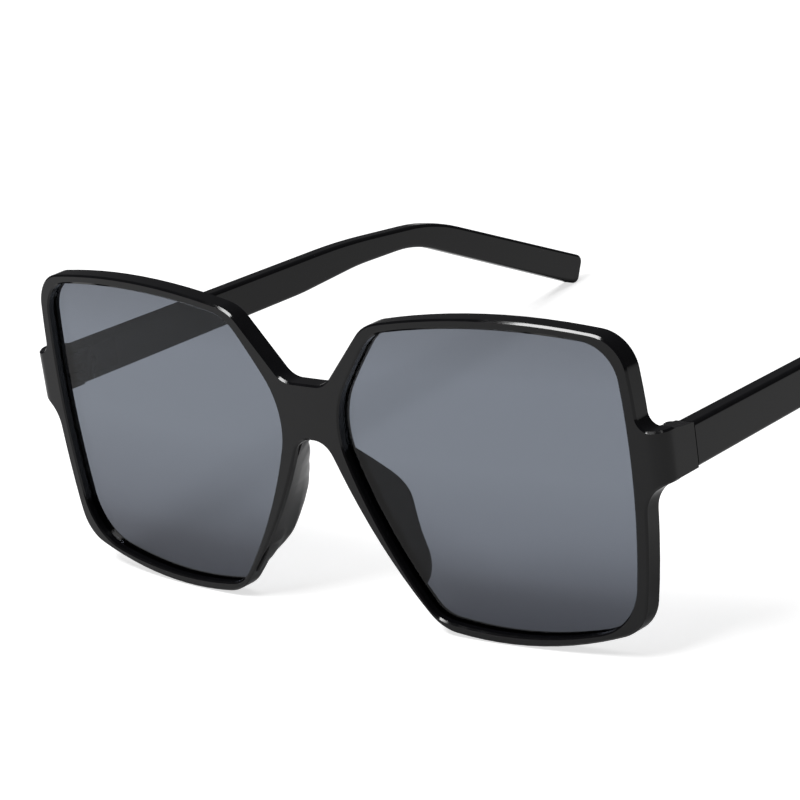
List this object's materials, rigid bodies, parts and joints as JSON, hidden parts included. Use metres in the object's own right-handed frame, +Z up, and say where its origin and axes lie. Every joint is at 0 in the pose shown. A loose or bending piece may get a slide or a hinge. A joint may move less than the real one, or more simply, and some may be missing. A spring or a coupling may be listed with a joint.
{
  "type": "sunglasses",
  "caption": "Oversized square sunglasses: a moulded front with bridge and nose pads, snapped-in tinted lenses, and temples that fold on screwed hinges.",
  "frame": {"origin": "on the floor that the open pair stands on, under the middle of its box: midway between the sides, and midway between the foremost point of the front and the temple ends", "axes": "+X to the wearer's left, +Y from the front back to the temple ends, +Z up"},
  "size_m": [0.1504, 0.1592, 0.0591],
  "materials": {
    "frame_black": "polished injection-moulded black",
    "lens_grey": "polished, neutral grey tint",
    "hinge_black": "black-coated steel"
  },
  "bodies": {
    "front": {"front_frame": "frame_black", "lens_left": "lens_grey", "lens_right": "lens_grey", "hinge_front_leaf_left": "hinge_black", "hinge_front_leaf_right": "hinge_black", "hinge_screw_left": "hinge_black", "hinge_screw_right": "hinge_black"},
    "left_temple": {"temple_left": "frame_black", "hinge_temple_leaf_left": "hinge_black"},
    "right_temple": {"temple_right": "frame_black", "hinge_temple_leaf_right": "hinge_black"}
  },
  "joints": [
    {"name": "left_temple_fold", "type": "hinge", "parent": "front", "child": "left_temple", "pos_m": [0.07005, -0.06439, 0.0358], "axis": [-0.0021, 0.0699, 0.9976], "range_deg": [0, 90]},
    {"name": "right_temple_fold", "type": "hinge", "parent": "front", "child": "right_temple", "pos_m": [-0.07005, -0.06439, 0.0358], "axis": [-0.0021, -0.0699, -0.9976], "range_deg": [0, 86]}
  ]
}
